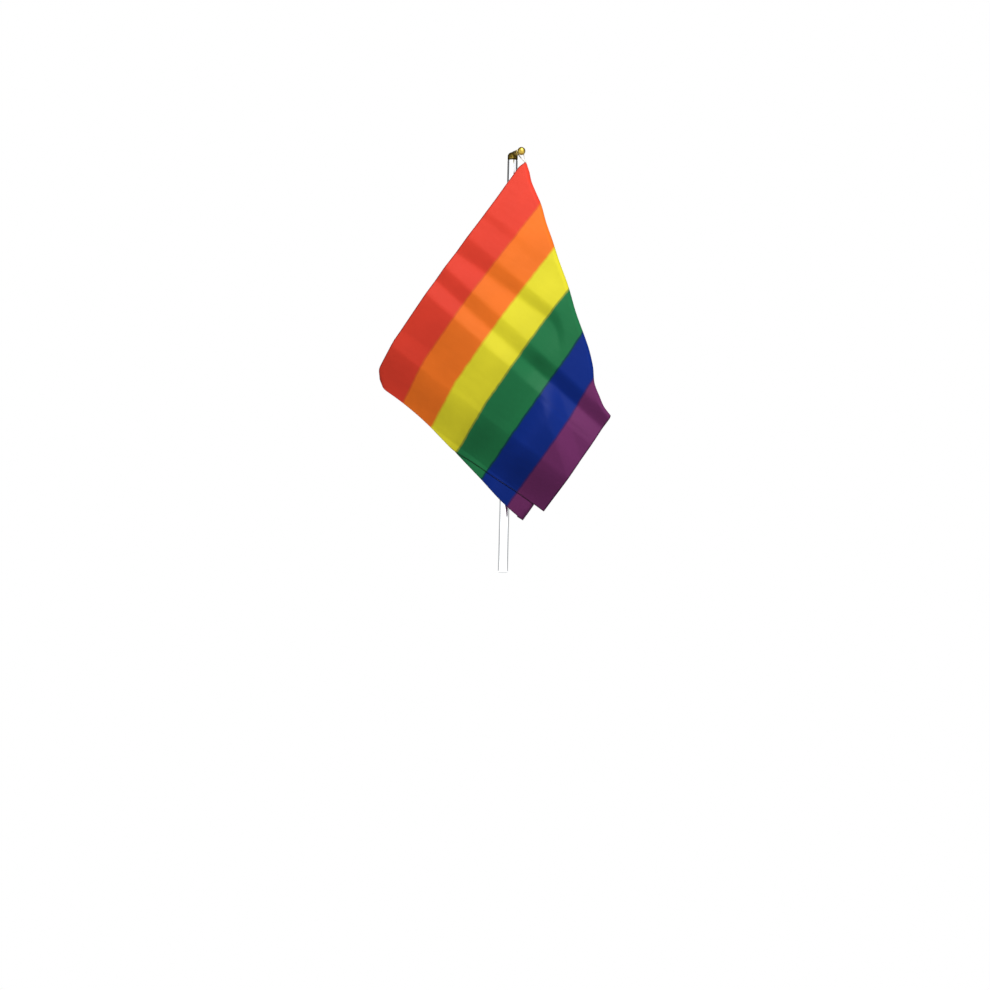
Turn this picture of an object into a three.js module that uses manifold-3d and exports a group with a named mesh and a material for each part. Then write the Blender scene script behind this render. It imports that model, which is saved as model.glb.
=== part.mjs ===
// A small six-stripe pride flag of two satin plies. It hangs by its red hoist corner from a cord
// loop on a brass peg, in front of the slim pole that carries the peg.
// Millimetres, +Z up. The origin is the centre of the pole's foot, and the flag is seen from -Y.

import * as THREE from 'three';
import { mergeVertices } from 'three/addons/utils/BufferGeometryUtils.js';
import Module from 'manifold-3d';

const wasm = await Module();
wasm.setup();

// The pole and the air between pieces that touch in the real object
const POLE_RADIUS = 2.4;
const POLE_HEIGHT = 196.3;
const POLE_SIDES = 48;
const SEAT_GAP = 0.3;

// The brass fitting: a cap on the pole's end, a peg that leans to the front right, and its ball
const CAP_HEIGHT = 3.4;
const CAP_ROUNDING = 1.9;
const ROUNDING_STEPS = 5;
const PEG_RADIUS = 0.95;
const PEG_ROOT = new THREE.Vector3(0.6, -0.8, 198.5);
const BALL_CENTRE = new THREE.Vector3(3.9, -9.4, 198.2);
const BALL_RADIUS = 1.85;
const BRASS_SIDES = 24;
const MERGE_WITHIN = 1e-4;

// The cord loop that hangs on the peg, by its share of the peg's length and its own sizes
const LOOP_PLACE = 0.76;
const LOOP_CORD_RADIUS = 0.35;
const LOOP_HALF_WIDTH = 1.75;
const LOOP_FULLNESS = 1.3;
const LOOP_TO_CORNER = 0.32;
const LOOP_CORD_SIDES = 8;
const LOOP_STEPS = 44;

// The flag's width as it hangs, a little less than its cut, and its plies, one step apart
const FLAG_WIDTH = 100.5;
const PLY_THICKNESS = 1.0;
const PLY_STEP = 1.5;
const CLOTH_TO_POLE = 2.2;

// How it hangs: the red hoist corner is at the top, the stripes run down to the left, and the
// hoist side is turned behind along a line that leaves that corner
const TOP_CORNER = { x: 6.2, z: 193.6 };
const STRIPES_FROM_PLUMB = THREE.MathUtils.degToRad(33.7);
const TURN_FROM_HOIST = THREE.MathUtils.degToRad(36.55);
const TURN_RADIUS = PLY_STEP * 1.5;
const FRONT_Y = -(POLE_RADIUS + CLOTH_TO_POLE + 2 * TURN_RADIUS + PLY_THICKNESS / 2);

// The plies' fly ends, from the red edge to the purple one, and how far the stripes bow toward the
// red edge and droop away from it at the fly end. The inner ply has the shorter way round the turn,
// so its end hangs lower.
const CUT = [
  { at: 0, outer: 125.6, inner: 121.6, bow: 1.6, droop: 2.2 },
  { at: 17, outer: 125.6, inner: 123, bow: 2.2, droop: 3 },
  { at: 34, outer: 127.5, inner: 125.5, bow: 2, droop: 2.5 },
  { at: 42, outer: 129.1, inner: 127.6, bow: 1.7, droop: 2.4 },
  { at: 50, outer: 130.3, inner: 130.2, bow: 1.8, droop: 1.8 },
  { at: 58, outer: 129.9, inner: 132.2, bow: 0.7, droop: 1.3 },
  { at: 68, outer: 129.7, inner: 134.2, bow: -0.7, droop: 0.4 },
  { at: 85, outer: 129.1, inner: 137.4, bow: -0.2, droop: 0 },
  { at: FLAG_WIDTH, outer: 129.3, inner: 138.8, bow: 0, droop: 0 },
];
const BOW = { from: 14, to: 74 };
const DROOP = { from: 104, to: 126 };
const TIP_PINCH = { narrows: 1.1, along: 5, across: 12 };

// How far the turn's edge is dented in, from the top corner down, and how far the dent reaches
const TURN_DENTS = [
  { at: 5, dent: 0 },
  { at: 9.5, dent: 0.5 },
  { at: 14.5, dent: 0.2 },
  { at: 21, dent: -0.35 },
  { at: 30, dent: 0.1 },
  { at: 38, dent: 0 },
  { at: 48, dent: 0.1 },
  { at: 62, dent: -0.2 },
  { at: 73, dent: 0.25 },
  { at: 97, dent: 0.2 },
  { at: 101, dent: 0.7 },
  { at: 109, dent: 2.5 },
  { at: 115, dent: 2.2 },
  { at: 120.5, dent: 1.7 },
  { at: 125.5, dent: 0 },
];
const DENT_REACH = 20;

const OUTER_PLY = { edge: 'outer', step: 0, curledMargin: 0 };
const INNER_PLY = { edge: 'inner', step: PLY_STEP, curledMargin: 1 };

// The creases of the cloth. Each starts so far along the red edge, shifts by its slant on the way to
// the purple edge, and a bend turns it aside past the middle of the flag.
const CREASES = {
  tip: { along: 2, slant: 0, bend: 0 },
  fineStart: { along: 30.3, slant: 4, bend: 0 },
  fineEnd: { along: 34, slant: 6, bend: 0 },
  upperStart: { along: 45.3, slant: 8.3, bend: 0.045 },
  upperEnd: { along: 53.9, slant: 1.5, bend: 0.045 },
  middleStart: { along: 63.1, slant: 11.5, bend: 0 },
  middleEnd: { along: 70.3, slant: 11.4, bend: 0 },
  broad: { along: 78, slant: 11, bend: 0 },
  hair: { along: 82, slant: 8, bend: 0 },
  shoulder: { along: 97, slant: 3, bend: 0 },
  low: { along: 75, slant: 27, bend: 0 },
  end: { along: 107, slant: 3, bend: 0 },
  fly: { along: 126, slant: 3, bend: 0 },
};

// The facets between creases, and how far each rises away from the viewer. A facet shows between
// two distances across the flag.
const FACETS = [
  { from: CREASES.tip, to: CREASES.fineStart, rise: -1.8, since: -20, until: 130 },
  { from: CREASES.fineStart, to: CREASES.fineEnd, rise: 0.2, since: -20, until: 24 },
  { from: CREASES.fineEnd, to: CREASES.upperStart, rise: -0.7, since: -20, until: 60 },
  { from: CREASES.upperStart, to: CREASES.upperEnd, rise: 1.15, since: -20, until: 68 },
  { from: CREASES.upperEnd, to: CREASES.middleStart, rise: -1.3, since: -20, until: 68 },
  { from: CREASES.middleStart, to: CREASES.middleEnd, rise: 1.05, since: -20, until: 130 },
  { from: CREASES.middleStart, to: CREASES.middleEnd, rise: 1.15, since: 46, until: 130 },
  { from: CREASES.middleEnd, to: CREASES.broad, rise: -1.4, since: -20, until: 130 },
  { from: CREASES.middleEnd, to: CREASES.broad, rise: -0.75, since: 46, until: 130 },
  { from: CREASES.broad, to: CREASES.end, rise: 3.1, since: -20, until: 74 },
  { from: CREASES.hair, to: CREASES.shoulder, rise: -3.1, since: 64, until: 130 },
  { from: CREASES.low, to: CREASES.end, rise: 1.2, since: 58, until: 130 },
  { from: CREASES.end, to: CREASES.fly, rise: 4.1, since: -20, until: 130 },
  { from: CREASES.end, to: CREASES.fly, rise: 2.4, since: 46, until: 130 },
];
const BEND_FROM = 50;
const FACET_FADE = 14;
const FACET_CRISPNESS = 0.7;
const LEAST_FACET = 1;

// Two small curls: the red fly corner turns back, and so does the inner ply's purple margin
const CORNER_CURL = { along: 117.2, across: 0, heading: 42.5, radius: 2.2, turn: 1.6 };
const MARGIN_CURL = { across: 88.7, radius: 7, turn: 1.5, from: 104, to: 134 };

// The spacing of the mesh: its rows run beside the turn, and its columns beside the folds
const ROW_SPACING = 3.2;
const CORNER_ROW_SPACING = 0.9;
const MARGIN_ROW_SPACING = 2.6;
const TURN_ROW_ANGLE = 0.42;
const COLUMN_SPACING = 3.3;
const COLUMN_SLANT = 9.3 / FLAG_WIDTH;
const ROLL_SLACK = 0.4;
const HALVINGS = 40;
const SAME_PLACE = 1e-6;
const NORMAL_REACH = 0.2;
const LEAST_TURN = 0.01;

const STRIPE_WAY = { x: -Math.sin(STRIPES_FROM_PLUMB), z: -Math.cos(STRIPES_FROM_PLUMB) };
const ACROSS_WAY = { x: Math.cos(STRIPES_FROM_PLUMB), z: -Math.sin(STRIPES_FROM_PLUMB) };
const TURN_WAY = { along: -Math.cos(TURN_FROM_HOIST), across: Math.sin(TURN_FROM_HOIST) };
const DOWN_THE_TURN = { along: Math.sin(TURN_FROM_HOIST), across: Math.cos(TURN_FROM_HOIST) };

function smoothStep(share) {
  const t = THREE.MathUtils.clamp(share, 0, 1);
  return t * t * (3 - 2 * t);
}

// A ramp from 0 to 1, straight in its middle and eased at its ends
function ramp(share) {
  const t = THREE.MathUtils.clamp(share, 0, 1);
  return FACET_CRISPNESS * t + (1 - FACET_CRISPNESS) * smoothStep(t);
}

// Reads a table's named column at a distance between its rows
function readTable(rows, column, distance) {
  const last = rows.length - 1;
  const upper = rows.findIndex((row) => row.at > distance);
  const next = THREE.MathUtils.clamp(upper < 0 ? last : upper, 1, last);
  const start = rows[next - 1];
  const end = rows[next];
  const share = (distance - start.at) / (end.at - start.at);
  return THREE.MathUtils.lerp(start[column], end[column], THREE.MathUtils.clamp(share, 0, 1));
}

// Where a crease is along the stripes, at a distance across them
function creasePlace(crease, across) {
  const bent = crease.bend * Math.max(0, across - BEND_FROM) ** 2;
  return crease.along + (crease.slant * across) / FLAG_WIDTH + bent;
}

// How far the folds set a place on the hanging flag back
function foldDepth(along, across) {
  let depth = 0;
  for (const facet of FACETS) {
    const start = creasePlace(facet.from, across);
    const wide = Math.max(LEAST_FACET, creasePlace(facet.to, across) - start);
    const begun = smoothStep((across - facet.since) / FACET_FADE);
    const left = smoothStep((facet.until - across) / FACET_FADE);
    depth += facet.rise * begun * left * ramp((along - start) / wide);
  }
  return depth;
}

// Bends a distance beyond a line round a roll, and on from it in a straight line
function rollOver(distance, radius, mostTurn) {
  if (distance <= 0) {
    return { reach: distance, depth: 0 };
  }
  const turn = Math.min(distance / radius, mostTurn);
  const rest = distance - radius * turn;
  return {
    reach: radius * Math.sin(turn) + rest * Math.cos(turn),
    depth: radius * (1 - Math.cos(turn)) + rest * Math.sin(turn),
  };
}

// Moves a point of the cloth along a way, from its flat distance to where the roll takes it
function rollPoint(point, way, distance, radius, mostTurn) {
  const rolled = rollOver(distance, radius, mostTurn);
  const shift = rolled.reach - distance;
  return {
    along: point.along + way.along * shift,
    across: point.across + way.across * shift,
    depth: point.depth + rolled.depth,
  };
}

// The red fly corner's curl, tighter on the inner ply
function curlCorner(point, ply) {
  const heading = THREE.MathUtils.degToRad(CORNER_CURL.heading);
  const way = { along: Math.cos(heading), across: -Math.sin(heading) };
  const fromLine = { along: point.along - CORNER_CURL.along, across: point.across - CORNER_CURL.across };
  const distance = fromLine.along * way.along + fromLine.across * way.across;
  return rollPoint(point, way, distance, CORNER_CURL.radius - ply.step, CORNER_CURL.turn);
}

// The inner ply's purple margin curls back toward its fly end
function curlMargin(point, ply) {
  const span = MARGIN_CURL.to - MARGIN_CURL.from;
  const strength = ply.curledMargin * smoothStep((point.along - MARGIN_CURL.from) / span);
  const distance = point.across - MARGIN_CURL.across;
  const turn = MARGIN_CURL.turn * strength;
  if (turn < LEAST_TURN || distance <= 0) {
    return point;
  }
  return rollPoint(point, { along: 0, across: 1 }, distance, MARGIN_CURL.radius / strength, turn);
}

// The hoist side's turn behind the flag. Both plies roll round one axis.
function turnHoist(point, ply) {
  const distance = point.along * TURN_WAY.along + point.across * TURN_WAY.across + TURN_RADIUS;
  return rollPoint(point, TURN_WAY, distance, TURN_RADIUS - ply.step, Math.PI);
}

// The cloth hangs a little out of square: its stripes bow, droop at the fly end, and are pinched
// together at the top corner
function drawAside(point) {
  const bowed = smoothStep((point.along - BOW.from) / (BOW.to - BOW.from));
  const drooped = THREE.MathUtils.clamp((point.along - DROOP.from) / (DROOP.to - DROOP.from), 0, 1);
  const beyondTip = smoothStep(point.along / TIP_PINCH.along);
  const pinched = beyondTip * smoothStep(1 - point.across / TIP_PINCH.across);
  const shift = readTable(CUT, 'droop', point.across) * drooped
    - readTable(CUT, 'bow', point.across) * bowed
    - TIP_PINCH.narrows * pinched;
  return { ...point, across: point.across + shift };
}

// The turn's edge isn't quite straight
function dentTurn(point) {
  const beyond = point.along * TURN_WAY.along + point.across * TURN_WAY.across;
  const down = point.along * DOWN_THE_TURN.along + point.across * DOWN_THE_TURN.across;
  const shift = -readTable(TURN_DENTS, 'dent', down) * smoothStep(1 + beyond / DENT_REACH);
  return {
    along: point.along + TURN_WAY.along * shift,
    across: point.across + TURN_WAY.across * shift,
    depth: point.depth,
  };
}

// Where a point of the flat ply is when the flag hangs
function hangingPoint(ply, along, across) {
  const flat = { along, across, depth: ply.step };
  const place = dentTurn(turnHoist(curlCorner(drawAside(curlMargin(flat, ply)), ply), ply));
  return new THREE.Vector3(
    TOP_CORNER.x + place.along * STRIPE_WAY.x + place.across * ACROSS_WAY.x,
    FRONT_Y + place.depth + foldDepth(place.along, place.across),
    TOP_CORNER.z + place.along * STRIPE_WAY.z + place.across * ACROSS_WAY.z,
  );
}

// The cloth's normal at that point, away from the viewer where the flag isn't turned
function hangingNormal(ply, along, across) {
  const reach = NORMAL_REACH;
  const alongStep = hangingPoint(ply, along + reach, across).sub(hangingPoint(ply, along - reach, across));
  const acrossStep = hangingPoint(ply, along, across + reach).sub(hangingPoint(ply, along, across - reach));
  return acrossStep.cross(alongStep).normalize();
}

// Evenly spaced values after the first, up to the last
function stepsTo(first, last, spacing) {
  const count = Math.max(1, Math.ceil((last - first) / spacing));
  return Array.from({ length: count }, (_, i) => THREE.MathUtils.lerp(first, last, (i + 1) / count));
}

// The rows' distances from the turn, with a row through each corner and more rows in the rolls
function rowDistances(ply) {
  const redFly = TURN_WAY.along * readTable(CUT, ply.edge, 0);
  const curlEnd = redFly + 3 * CORNER_CURL.radius;
  const purpleFly = TURN_WAY.along * readTable(CUT, ply.edge, FLAG_WIDTH) + TURN_WAY.across * FLAG_WIDTH;
  const rollRadius = TURN_RADIUS - ply.step;
  const turnStart = -TURN_RADIUS - ROLL_SLACK;
  const turnEnd = -TURN_RADIUS + Math.PI * rollRadius + ROLL_SLACK;
  const turnSpacing = TURN_ROW_ANGLE * rollRadius;
  return [
    redFly,
    ...stepsTo(redFly, curlEnd, CORNER_ROW_SPACING),
    ...stepsTo(curlEnd, purpleFly, ply.curledMargin ? MARGIN_ROW_SPACING : ROW_SPACING),
    ...stepsTo(purpleFly, turnStart, ply.curledMargin ? MARGIN_ROW_SPACING : ROW_SPACING),
    ...stepsTo(turnStart, 0, turnSpacing),
    ...stepsTo(0, turnEnd, turnSpacing),
    ...stepsTo(turnEnd, TURN_WAY.across * FLAG_WIDTH, ROW_SPACING),
  ];
}

// The columns' distances along the red edge, with one at each crease
function columnDistances() {
  const flyEnds = CUT.map((row) => Math.max(row.outer, row.inner) - COLUMN_SLANT * row.at);
  const creases = Object.values(CREASES).map((crease) => crease.along).sort((a, b) => a - b);
  const stops = [...creases, Math.max(...flyEnds) + COLUMN_SPACING];
  const columns = [-COLUMN_SLANT * FLAG_WIDTH];
  for (const stop of stops) {
    columns.push(...stepsTo(columns.at(-1), stop, COLUMN_SPACING));
  }
  return columns;
}

// How far along the stripes a row is at a distance across them
function alongOnRow(row, across) {
  return (across * TURN_WAY.across - row) / -TURN_WAY.along;
}

// How far across the flag a row may go before it meets the fly end
function flyLimit(ply, row) {
  let low = 0;
  let high = FLAG_WIDTH;
  const beyond = (across) => alongOnRow(row, across) > readTable(CUT, ply.edge, across);
  if (!beyond(high)) {
    return high;
  }
  for (let halving = 0; halving < HALVINGS; halving++) {
    const middle = (low + high) / 2;
    if (beyond(middle)) {
      high = middle;
    } else {
      low = middle;
    }
  }
  return low;
}

// The flat ply's points and triangles. A column that leaves the cloth closes up on its edge.
function plyGrid(ply) {
  const columns = columnDistances();
  const points = [];
  const rows = rowDistances(ply).map((row) => {
    const lowest = Math.max(0, row / TURN_WAY.across);
    const highest = Math.max(lowest, flyLimit(ply, row));
    let previous = null;
    return columns.map((column) => {
      const crossing = (row - TURN_WAY.along * column) / (TURN_WAY.across + TURN_WAY.along * COLUMN_SLANT);
      const across = THREE.MathUtils.clamp(crossing, lowest, highest);
      if (previous === null || Math.abs(across - previous) > SAME_PLACE) {
        points.push({ along: alongOnRow(row, across), across });
        previous = across;
      }
      return points.length - 1;
    });
  });
  const triangles = [];
  for (let i = 0; i + 1 < rows.length; i++) {
    for (let j = 0; j + 1 < columns.length; j++) {
      const [a, b, c, d] = [rows[i][j], rows[i][j + 1], rows[i + 1][j + 1], rows[i + 1][j]];
      triangles.push([a, b, d], [b, c, d]);
    }
  }
  return { points, triangles: triangles.filter(([a, b, c]) => a !== b && b !== c && c !== a) };
}

// A closed solid of even thickness on a sheet of points
function thickSheet(points, normals, triangles, thickness) {
  const count = points.length;
  const front = points.map((point, i) => point.clone().addScaledVector(normals[i], -thickness / 2));
  const back = points.map((point, i) => point.clone().addScaledVector(normals[i], thickness / 2));
  const faces = [];
  const edges = new Map();
  for (const [a, b, c] of triangles) {
    faces.push([a, b, c], [a + count, c + count, b + count]);
    for (const [start, end] of [[a, b], [b, c], [c, a]]) {
      edges.set(`${start} ${end}`, [start, end]);
    }
  }
  for (const [start, end] of edges.values()) {
    if (!edges.has(`${end} ${start}`)) {
      faces.push([end, start, start + count], [end, start + count, end + count]);
    }
  }
  const geometry = new THREE.BufferGeometry();
  geometry.setFromPoints([...front, ...back]);
  geometry.setIndex(faces.flat());
  geometry.computeVertexNormals();
  return geometry;
}

function plyGeometry(ply) {
  const { points, triangles } = plyGrid(ply);
  const places = points.map((point) => hangingPoint(ply, point.along, point.across));
  const normals = points.map((point) => hangingNormal(ply, point.along, point.across));
  return thickSheet(places, normals, triangles, PLY_THICKNESS);
}

function poleGeometry() {
  const geometry = new THREE.CylinderGeometry(POLE_RADIUS, POLE_RADIUS, POLE_HEIGHT, POLE_SIDES);
  geometry.rotateX(Math.PI / 2);
  geometry.translate(0, 0, POLE_HEIGHT / 2);
  return geometry;
}

// A three.js geometry as a solid that can be joined
function solidOf(geometry) {
  const bare = geometry.clone();
  bare.deleteAttribute('normal');
  bare.deleteAttribute('uv');
  const merged = mergeVertices(bare, MERGE_WITHIN);
  return new wasm.Manifold(new wasm.Mesh({
    numProp: 3,
    vertProperties: new Float32Array(merged.attributes.position.array),
    triVerts: new Uint32Array(merged.index.array),
  }));
}

function geometryOf(solid) {
  const mesh = solid.getMesh();
  const geometry = new THREE.BufferGeometry();
  geometry.setAttribute('position', new THREE.BufferAttribute(new Float32Array(mesh.vertProperties), 3));
  geometry.setIndex(new THREE.BufferAttribute(new Uint32Array(mesh.triVerts), 1));
  geometry.computeVertexNormals();
  return geometry;
}

// The cap, with a rounded top edge
function capGeometry() {
  const profile = [new THREE.Vector2(0, 0), new THREE.Vector2(POLE_RADIUS, 0)];
  for (let step = 0; step <= ROUNDING_STEPS; step++) {
    const angle = (step / ROUNDING_STEPS) * (Math.PI / 2);
    profile.push(new THREE.Vector2(
      POLE_RADIUS - CAP_ROUNDING + CAP_ROUNDING * Math.cos(angle),
      CAP_HEIGHT - CAP_ROUNDING + CAP_ROUNDING * Math.sin(angle),
    ));
  }
  profile.push(new THREE.Vector2(0, CAP_HEIGHT));
  const geometry = new THREE.LatheGeometry(profile, POLE_SIDES);
  geometry.rotateX(Math.PI / 2);
  geometry.translate(0, 0, POLE_HEIGHT + SEAT_GAP);
  return geometry;
}

// The peg, from inside the cap to the middle of its ball
function pegGeometry() {
  const run = BALL_CENTRE.clone().sub(PEG_ROOT);
  const geometry = new THREE.CylinderGeometry(PEG_RADIUS, PEG_RADIUS, run.length(), BRASS_SIDES);
  const cylinderWay = new THREE.Vector3(0, 1, 0);
  geometry.applyQuaternion(new THREE.Quaternion().setFromUnitVectors(cylinderWay, run.clone().normalize()));
  geometry.translate(...PEG_ROOT.clone().addScaledVector(run, 0.5).toArray());
  return geometry;
}

function brassGeometry() {
  const ball = new THREE.SphereGeometry(BALL_RADIUS, BRASS_SIDES, BRASS_SIDES / 2);
  ball.translate(...BALL_CENTRE.toArray());
  return geometryOf(solidOf(capGeometry()).add(solidOf(pegGeometry())).add(solidOf(ball)));
}

// The loop's drop shape: round over the peg, and closed to a point just above the flag's corner
function loopGeometry() {
  const middle = PEG_ROOT.clone().lerp(BALL_CENTRE, LOOP_PLACE);
  const drop = hangingPoint(OUTER_PLY, 0, 0).sub(middle);
  drop.setLength(drop.length() - LOOP_CORD_RADIUS - LOOP_TO_CORNER);
  const down = drop.clone().normalize();
  const side = BALL_CENTRE.clone().sub(PEG_ROOT).cross(down).normalize();
  const points = [];
  for (let step = 0; step < LOOP_STEPS; step++) {
    const angle = (step / LOOP_STEPS) * 2 * Math.PI;
    const low = (1 + Math.cos(angle)) / 2;
    const below = THREE.MathUtils.lerp(-LOOP_HALF_WIDTH, drop.length(), low);
    const beside = LOOP_HALF_WIDTH * LOOP_FULLNESS * Math.sin(angle) * Math.sin(angle / 2);
    points.push(middle.clone().addScaledVector(down, below).addScaledVector(side, beside));
  }
  const path = new THREE.CatmullRomCurve3(points, true);
  return new THREE.TubeGeometry(path, LOOP_STEPS, LOOP_CORD_RADIUS, LOOP_CORD_SIDES, true);
}

const satin = new THREE.MeshStandardMaterial({ color: '#d8452f', roughness: 0.5, metalness: 0 });
const liningSatin = new THREE.MeshStandardMaterial({ color: '#1c3aa8', roughness: 0.5, metalness: 0 });
const chrome = new THREE.MeshStandardMaterial({ color: '#d4d6d8', roughness: 0.12, metalness: 1 });
const brass = new THREE.MeshStandardMaterial({ color: '#b09a3a', roughness: 0.3, metalness: 1 });
const cotton = new THREE.MeshStandardMaterial({ color: '#e9e6dd', roughness: 0.9, metalness: 0 });

function namedMesh(name, geometry, material) {
  const mesh = new THREE.Mesh(geometry, material);
  mesh.name = name;
  return mesh;
}

const group = new THREE.Group();
group.add(
  namedMesh('outer_ply', plyGeometry(OUTER_PLY), satin),
  namedMesh('inner_ply', plyGeometry(INNER_PLY), liningSatin),
  namedMesh('hanging_loop', loopGeometry(), cotton),
  namedMesh('brass_peg', brassGeometry(), brass),
  namedMesh('pole', poleGeometry(), chrome),
);

export default group;
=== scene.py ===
"""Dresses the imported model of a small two-ply pride flag that hangs by its corner on a slim pole.

Shapes are worked out in millimetres and turned to metres when a mesh is made. A place on the flag's
cut is given along the stripes, from the hoist edge, and across them, from the red edge. Depth is
measured away from the viewer, who stands on the -Y side.
"""

from __future__ import annotations

import logging
import math
from abc import ABC, abstractmethod
from dataclasses import dataclass, field
from enum import Enum
from typing import ClassVar, Sequence

import bpy
import numpy as np
from bpy.types import Material, Mesh, Node, NodeOutputs, NodeSocket, NodeTree, Object
from mathutils import Matrix, Vector

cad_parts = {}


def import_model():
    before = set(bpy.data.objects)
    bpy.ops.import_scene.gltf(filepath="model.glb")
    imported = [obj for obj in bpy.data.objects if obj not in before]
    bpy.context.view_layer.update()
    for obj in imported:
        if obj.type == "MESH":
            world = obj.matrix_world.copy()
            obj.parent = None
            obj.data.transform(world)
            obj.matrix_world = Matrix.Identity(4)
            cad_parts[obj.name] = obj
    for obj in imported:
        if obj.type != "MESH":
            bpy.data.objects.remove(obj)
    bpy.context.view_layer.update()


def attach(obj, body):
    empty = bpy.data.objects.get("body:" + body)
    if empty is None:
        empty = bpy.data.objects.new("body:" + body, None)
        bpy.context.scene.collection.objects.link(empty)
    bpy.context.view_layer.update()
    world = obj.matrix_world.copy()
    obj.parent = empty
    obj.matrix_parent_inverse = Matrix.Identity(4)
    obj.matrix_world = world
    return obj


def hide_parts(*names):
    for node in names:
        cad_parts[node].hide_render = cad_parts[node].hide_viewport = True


LOG = logging.getLogger("hanging_flag")
MM = 0.001
BODY = "root"
PHOTO_SIDE_PX = 990
SENSOR_MM = 36.0

# Where creases start to bend aside, across the flag, and the narrowest facet, in millimetres
BEND_FROM = 50.0
LEAST_FACET = 1.0

# The sides of the sealed edge's bead and of the loop's strands
BEAD_SIDES = 6
STRAND_SIDES = 8

# The inputs of a Map Range node, in its order
RANGE_INPUTS = ("Value", "From Min", "From Max", "To Min", "To Max")

Faces = list[tuple[int, ...]]
Colour = tuple[float, float, float, float]
Pair = tuple[float, float]
Inputs = dict[str | int, object]


class Slot(Enum):
    """The record's material slots."""

    SATIN = "striped_satin"
    THREAD = "cotton_cord"
    BRASS = "aged_brass"
    CHROME = "polished_chrome"


class PlySide(Enum):
    """The flag's two plies, by the model's node names."""

    OUTER = "outer_ply"
    INNER = "inner_ply"


def linear(hex_colour: str) -> Colour:
    """Turns an sRGB hex colour into linear RGBA.

    Args:
        hex_colour: A colour such as "#E8503A".

    Returns:
        Its red, green, blue and alpha for a shader socket.
    """
    shares = [int(hex_colour[start : start + 2], 16) / 255 for start in (1, 3, 5)]
    red, green, blue = (s / 12.92 if s <= 0.04045 else ((s + 0.055) / 1.055) ** 2.4 for s in shares)
    return red, green, blue, 1.0


def set_inputs(tree: NodeTree, node: Node, inputs: Inputs) -> None:
    """Links or sets a node's inputs.

    Args:
        tree: The node's tree.
        node: The node.
        inputs: By the input's name or number, a socket to link from, a node whose first output is
            linked, or a value.
    """
    for place, value in inputs.items():
        source = value.outputs[0] if isinstance(value, Node) else value
        if isinstance(source, NodeSocket):
            tree.links.new(source, node.inputs[place])
        else:
            node.inputs[place].default_value = source


def add_node(tree: NodeTree, kind: str, inputs: Inputs | None = None, **settings: object) -> Node:
    """Adds a node with its settings, and links or sets its inputs.

    Args:
        tree: The node tree it goes into.
        kind: The node's Blender type.
        inputs: What its inputs are linked from or set to, as set_inputs takes them.
        settings: Attributes of the node, by name.

    Returns:
        The new node.
    """
    node = tree.nodes.new(kind)
    for name, value in settings.items():
        setattr(node, name, value)
    set_inputs(tree, node, inputs or {})
    return node


def link_object(name: str, mesh: Mesh) -> Object:
    """Puts a mesh in the scene as an object at the origin.

    Args:
        name: The object's name.
        mesh: Its mesh.

    Returns:
        The new object.
    """
    piece = bpy.data.objects.new(name, mesh)
    bpy.context.scene.collection.objects.link(piece)
    return piece


def mesh_piece(name: str, points_mm: np.ndarray, faces: Faces) -> Object:
    """Makes a smooth-shaded mesh object from points in millimetres.

    Args:
        name: The object's name.
        points_mm: One row of x, y and z for each point.
        faces: Point numbers of each face, counter-clockwise from outside.

    Returns:
        The new object.
    """
    mesh = bpy.data.meshes.new(name)
    mesh.from_pydata((points_mm * MM).tolist(), [], faces)
    mesh.update()
    mesh.shade_smooth()
    return link_object(name, mesh)


def closed_path(name: str, points_mm: np.ndarray) -> Object:
    """Makes an object of edges that lead round points in millimetres and back to the first.

    Args:
        name: The object's name.
        points_mm: One row of x, y and z for each point.

    Returns:
        The new object.
    """
    count = len(points_mm)
    mesh = bpy.data.meshes.new(name)
    mesh.from_pydata((points_mm * MM).tolist(), [(n, (n + 1) % count) for n in range(count)], [])
    return link_object(name, mesh)


def apply_modifiers(piece: Object) -> None:
    """Turns a piece's evaluated shape into its plain mesh and removes the modifiers.

    Args:
        piece: The object.
    """
    bpy.context.view_layer.update()
    evaluated = piece.evaluated_get(bpy.context.evaluated_depsgraph_get())
    mesh = bpy.data.meshes.new_from_object(evaluated)
    piece.modifiers.clear()
    piece.data = mesh
    mesh.name = piece.name


def run_nodes(piece: Object, tree: NodeTree, sizes: dict[str, float]) -> None:
    """Runs a geometry node tree on a piece and keeps the result as its plain mesh.

    Args:
        piece: The object that holds the path.
        tree: The node tree.
        sizes: Values of the tree's named inputs.
    """
    modifier = piece.modifiers.new(tree.name, "NODES")
    modifier.node_group = tree
    for socket in tree.interface.items_tree:
        if socket.item_type == "SOCKET" and socket.name in sizes:
            modifier[socket.identifier] = sizes[socket.name]
    apply_modifiers(piece)


def finish_piece(piece: Object, slot: Slot, *nodes: str) -> None:
    """Makes a piece ride on the part and hides the model's nodes that it stands for.

    Args:
        piece: The object.
        slot: The record's material slot. Not used.
        nodes: The model's nodes that it replaces, if any.
    """
    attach(piece, BODY)
    if nodes:
        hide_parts(*nodes)
    LOG.info("%s: %d faces", piece.name, len(piece.data.polygons))


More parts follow.
